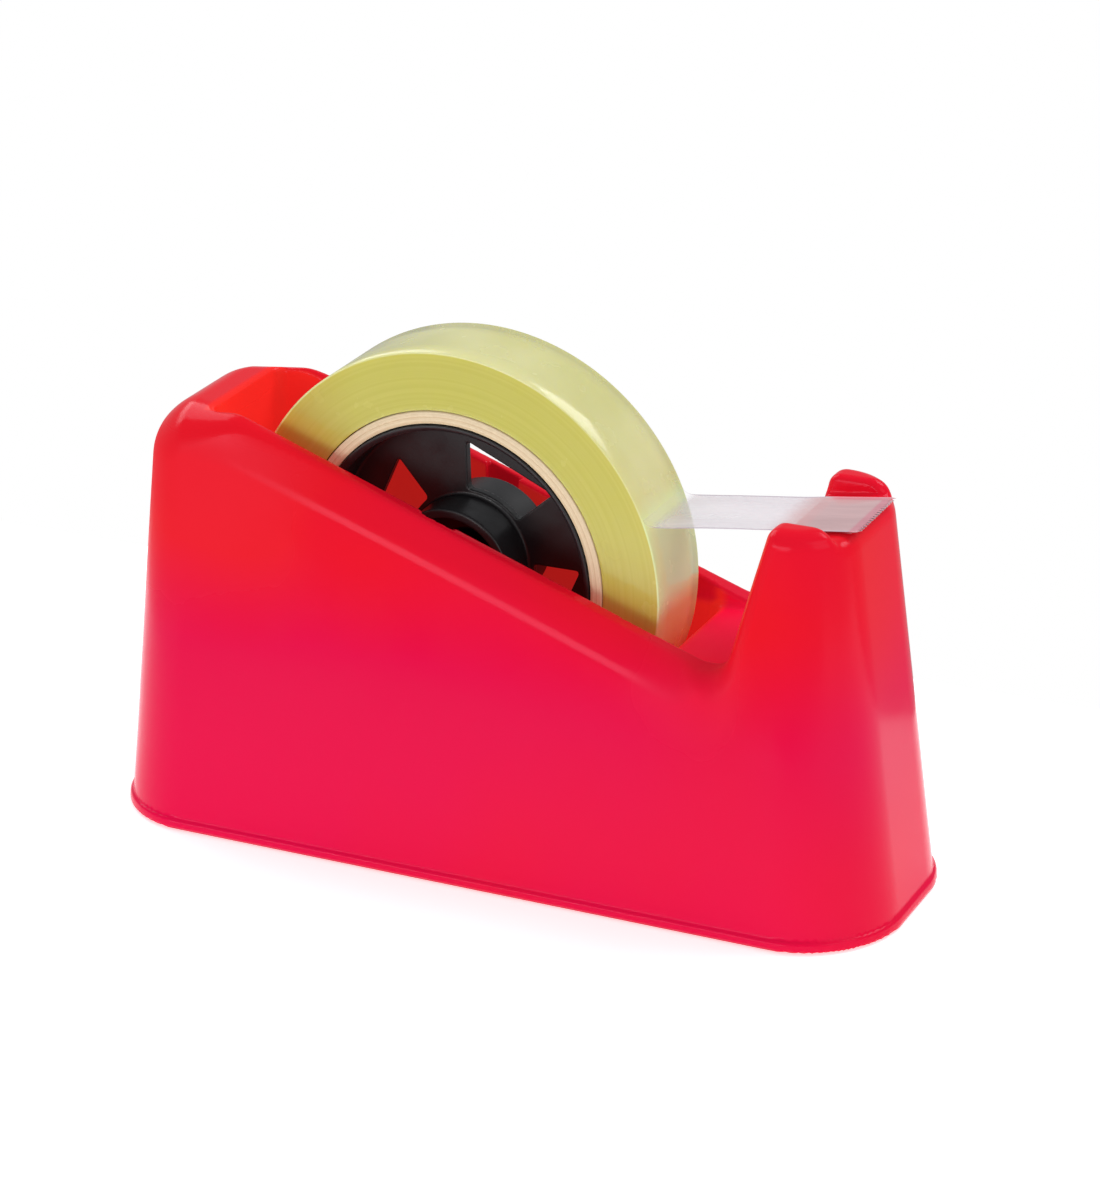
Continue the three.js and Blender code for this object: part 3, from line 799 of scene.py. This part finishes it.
def make_pin():
    """The axle, with chamfered ends and the dimples that it was turned between."""
    end, r = PIN_HALF, PIN_R
    half = [(0.01, end - 0.9), (0.9, end), (r - 0.7, end)]
    half += [(r - 0.55, end - 0.05), (r - 0.06, end - 0.5), (r, end - 0.7)]
    loop = half + [(radius, -y) for radius, y in reversed(half)]
    piece = lathe("axle_pin", loop, 64)
    material = steel("turned_steel", (0.5, 0.5, 0.52), 0.28, (1, 6, 1))
    return dress(piece, material, "axle_steel", "axle", "axle")


def sheet_of(name, rows, thick):
    """A closed thin sheet from rows of points along it, each from one edge to the other."""
    rows = np.array(rows)
    count, across = rows.shape[:2]
    ahead = np.gradient(rows, axis=0)
    side = np.gradient(rows, axis=1)
    normal = np.cross(ahead, side)
    normal /= np.linalg.norm(normal, axis=2)[:, :, None]
    normal *= np.sign(normal[-1, across // 2, 2])
    upper = (rows + normal * thick / 2).reshape(-1, 3)
    lower = (rows - normal * thick / 2).reshape(-1, 3)
    shift = count * across
    faces = []
    for i in range(count - 1):
        for j in range(across - 1):
            a, b = i * across + j, (i + 1) * across + j
            faces.append([a, b, b + 1, a + 1])
            faces.append([a + shift, a + 1 + shift, b + 1 + shift, b + shift])
    border = list(range(across)) + [i * across + across - 1 for i in range(1, count)]
    border += [(count - 1) * across + j for j in range(across - 2, -1, -1)]
    border += [i * across for i in range(count - 2, 0, -1)]
    for a, b in zip(border, border[1:] + border[:1]):
        faces.append([a, b, b + shift, a + shift])
    made = smooth_mesh(name, np.concatenate([upper, lower]), faces, 60.0)
    outward(made)
    return made


TEETH = 16
TOOTH_DEPTH = 1.3


def film_path():
    """(x, z) along the free tape: off the roll at the peel line, and straight to the blade's teeth."""
    peel = math.atan2(FILM_LOW[2] + FILM_HALF - AXIS_Z, FILM_LOW[0])
    reach = ROLL_R + 0.07
    turn = peel + math.radians(2.0)
    start = np.array([reach * math.cos(turn), AXIS_Z + reach * math.sin(turn)])
    points = [tuple(start)]
    down = np.array([math.sin(peel), -math.cos(peel)])
    off = np.array([FILM_LOW[0] + 2.6, film_z(FILM_LOW[0] + 2.6)])
    bend = start + 1.7 * down
    for t in np.linspace(0, 1, 9)[1:]:
        spot = (1 - t) ** 2 * start + 2 * t * (1 - t) * bend + t**2 * off
        points.append(tuple(spot))
    for x in np.linspace(off[0], FILM_HIGH[0] - TOOTH_DEPTH, 48)[1:]:
        points.append((x, film_z(x)))
    return points


def make_film():
    rng = np.random.default_rng(11)
    phase = rng.uniform(0, 2 * math.pi, 4)
    path = film_path()
    across = np.linspace(-TAPE_HALF, TAPE_HALF, 2 * (TEETH + 2) + 1)
    last = len(path) - 1
    rows = []
    for i, (x, z) in enumerate(path):
        free = float(ramp(x, FILM_LOW[0] + 3, FILM_LOW[0] + 12) * (1 - ramp(x, 84, 93)))
        row = []
        for j, y in enumerate(across):
            wave = 0.16 * math.sin(0.42 * y + 0.07 * x + phase[0]) + 0.1 * math.sin(0.16 * x + phase[1])
            tip = TOOTH_DEPTH * (j % 2) if i == last else 0.0
            row.append((x + tip, y, z + free * wave + FILM_RISE * tip))
        rows.append(row)
    piece = sheet_of("free_tape", rows, 0.06)
    return dress(piece, film(), "tape_film", "axle", "tape_strand")


def make_blade():
    """A stamped strip whose teeth are ground to an edge from below."""
    root = BLADE_HIGH[0] - TOOTH_DEPTH
    half = BLADE_HIGH[1]
    thick = 0.6
    across = np.linspace(-half, half, 2 * TEETH + 1)
    top = film_z(BLADE_LOW[0]) - 0.2
    stations = [(BLADE_LOW[0], 0.0, 1.0), (BLADE_LOW[0] + 0.25, 0.0, 1.0), (root - 1.6, 0.0, 1.0)]
    stations += [(root - 0.3, 0.0, 0.6), (root, 0.0, 0.45), (root, TOOTH_DEPTH, 0.12)]
    upper, lower = [], []
    for x, tip, share in stations:
        for j, y in enumerate(across):
            px = x + (tip if j % 2 else 0.0)
            z = top + FILM_RISE * (px - BLADE_LOW[0])
            upper.append((px, y, z))
            lower.append((px, y, z - thick * (share if tip == 0 or j % 2 else 0.4)))
    count, wide = len(stations), len(across)
    shift = len(upper)
    faces = []
    for i in range(count - 2):
        for j in range(wide - 1):
            a, b = i * wide + j, (i + 1) * wide + j
            faces.append([a, b, b + 1, a + 1])
            faces.append([a + shift, a + 1 + shift, b + 1 + shift, b + shift])
    base, tips = (count - 2) * wide, (count - 1) * wide
    edge = []
    for j in range(0, wide - 1, 2):
        a, m, b, t = base + j, base + j + 1, base + j + 2, tips + j + 1
        for corners in ([a, t, m], [m, t, b]):
            faces.append(corners)
            faces.append([c + shift for c in reversed(corners)])
        edge += [(a, t), (t, b)]
    for a, b in edge[::-1]:
        faces.append([a, a + shift, b + shift, b])
    for j in range(wide - 1):
        faces.append([j, j + 1, j + 1 + shift, j + shift])
    for i in range(count - 2):
        a, b = i * wide, (i + 1) * wide
        faces.append([a, a + shift, b + shift, b])
        faces.append([a + wide - 1, b + wide - 1, b + wide - 1 + shift, a + wide - 1 + shift])
    used = sorted({v for face in faces for v in face})
    new = {v: i for i, v in enumerate(used)}
    points = np.array(upper + lower)[used]
    piece = smooth_mesh("serrated_blade", points, [[new[v] for v in face] for face in faces], 25.0)
    outward(piece)
    material = steel("blade_steel", (0.56, 0.55, 0.57), 0.3, (1, 10, 1))
    return dress(piece, material, "blade_steel", "base", "cutter_blade")


def dress_cad(name, material, slot, bevel=0.25):
    """A CAD node that keeps its shape, with its edges broken."""
    piece = dress(frame["nodes"][name], material, slot)
    edge = piece.modifiers.new("broken edges", "BEVEL")
    edge.width = bevel / MM
    edge.segments = 2
    edge.limit_method = "ANGLE"
    edge.angle_limit = math.radians(40)
    return piece


make_housing()
make_wheel()
make_roll()
make_core()
make_pin()
make_film()
make_blade()
dress_cad("bottom_cover", cover_plastic(), "cover_black")
iron = cast_iron()
dress_cad("ballast_slab", iron, "ballast_iron", 0.6)
dress_cad("ballast_block", iron, "ballast_iron", 0.6)
zinc = steel("zinc_plate", (0.46, 0.46, 0.48), 0.35, (1, 1, 1), 900)
rubber = foot_rubber()
for number in range(1, 5):
    dress_cad(f"cover_screw_{number}", zinc, "screw_steel", 0.1)
    dress_cad(f"foot_{number}", rubber, "foot_rubber", 0.2)

# ---- Floor, light and camera ----
FLOOR_LEFT, FLOOR_RIGHT, FLOOR_FRONT, FLOOR_BACK = -0.28, 0.45, -0.23, 0.13
ROOM_STRENGTH = 0.41


def make_floor():
    """The pale table top under the object."""
    mesh = bpy.data.meshes.new("floor")
    corners = [(FLOOR_LEFT, FLOOR_FRONT), (FLOOR_RIGHT, FLOOR_FRONT)]
    corners += [(FLOOR_RIGHT, FLOOR_BACK), (FLOOR_LEFT, FLOOR_BACK)]
    mesh.from_pydata([(x, y, 0.0) for x, y in corners], [], [[0, 1, 2, 3]])
    piece = new_object("floor", mesh)
    shade = Shade("pale_floor", (0.93, 0.93, 0.93), 0.7, Specular_IOR_Level=0.1)
    shade.shader.inputs["Emission Color"].default_value = (1, 1, 1, 1)
    shade.shader.inputs["Emission Strength"].default_value = 0.5
    mesh.materials.append(shade.material)


def make_world():
    """White to the camera, and a dim grey room to light and reflections."""
    world = bpy.data.worlds.new("studio")
    world.use_nodes = True
    bpy.context.scene.world = world
    tree = world.node_tree
    tree.nodes.clear()
    path = tree.nodes.new("ShaderNodeLightPath")
    seen = tree.nodes.new("ShaderNodeBackground")
    room = tree.nodes.new("ShaderNodeBackground")
    either = tree.nodes.new("ShaderNodeMixShader")
    out = tree.nodes.new("ShaderNodeOutputWorld")
    seen.inputs["Color"].default_value = (1, 1, 1, 1)
    room.inputs["Color"].default_value = (0.95, 0.97, 1.0, 1)
    room.inputs["Strength"].default_value = ROOM_STRENGTH
    tree.links.new(path.outputs["Is Camera Ray"], either.inputs[0])
    tree.links.new(room.outputs[0], either.inputs[1])
    tree.links.new(seen.outputs[0], either.inputs[2])
    tree.links.new(either.outputs[0], out.inputs[0])


def soft_box(name, place_at, aim, size, power, color=(1, 1, 1)):
    lamp = bpy.data.lights.new(name, "AREA")
    lamp.shape = "RECTANGLE"
    lamp.size, lamp.size_y = size
    lamp.energy = power
    lamp.color = color
    piece = bpy.data.objects.new(name, lamp)
    bpy.context.scene.collection.objects.link(piece)
    piece.location = place_at
    piece.rotation_mode = "QUATERNION"
    piece.rotation_quaternion = (Vector(aim) - Vector(place_at)).to_track_quat("-Z", "Y")
    return piece


def make_lights():
    centre = (cad_box[0] + cad_box[1]) / 2
    soft_box("front", (-0.34, -0.95, 0.19), centre, (1.0, 0.3), 4.3)
    soft_box("fill", (0.95, -0.45, 0.55), centre, (0.7, 0.9), 2.7, (1.0, 0.98, 0.97))
    soft_box("top", (0.52, 0.46, 1.0), centre, (0.6, 0.6), 6.5)
    soft_box("back", (-0.82, 0.32, 0.75), centre, (0.7, 0.7), 4.4)


VIEW_AZIMUTH, VIEW_ELEVATION, VIEW_ROLL = 25.94, 22.89, -1.03
VIEW_DISTANCE = 0.9923
VIEW_LENS = 119.64
VIEW_OFFSET = Vector((0.00851, 0.0, 0.0002))


def make_camera():
    """The main view, aimed near the middle of the CAD box."""
    azimuth, elevation, roll = (math.radians(a) for a in (VIEW_AZIMUTH, VIEW_ELEVATION, VIEW_ROLL))
    flat = math.cos(elevation)
    back = Vector((math.sin(azimuth) * flat, -math.cos(azimuth) * flat, math.sin(elevation)))
    level = Vector((math.cos(azimuth), math.sin(azimuth), 0.0))
    up = back.cross(level)
    right = math.cos(roll) * level + math.sin(roll) * up
    up = back.cross(right)
    data = bpy.data.cameras.new("camera")
    data.sensor_width = 36.0
    data.lens = VIEW_LENS
    piece = bpy.data.objects.new("camera", data)
    bpy.context.scene.collection.objects.link(piece)
    target = (cad_box[0] + cad_box[1]) / 2 + VIEW_OFFSET
    turn = Matrix((right, up, back)).transposed().to_4x4()
    piece.matrix_world = Matrix.Translation(target + VIEW_DISTANCE * back) @ turn
    bpy.context.scene.camera = piece


make_floor()
make_world()
make_lights()
make_camera()
bpy.context.scene.view_settings.view_transform = "Standard"
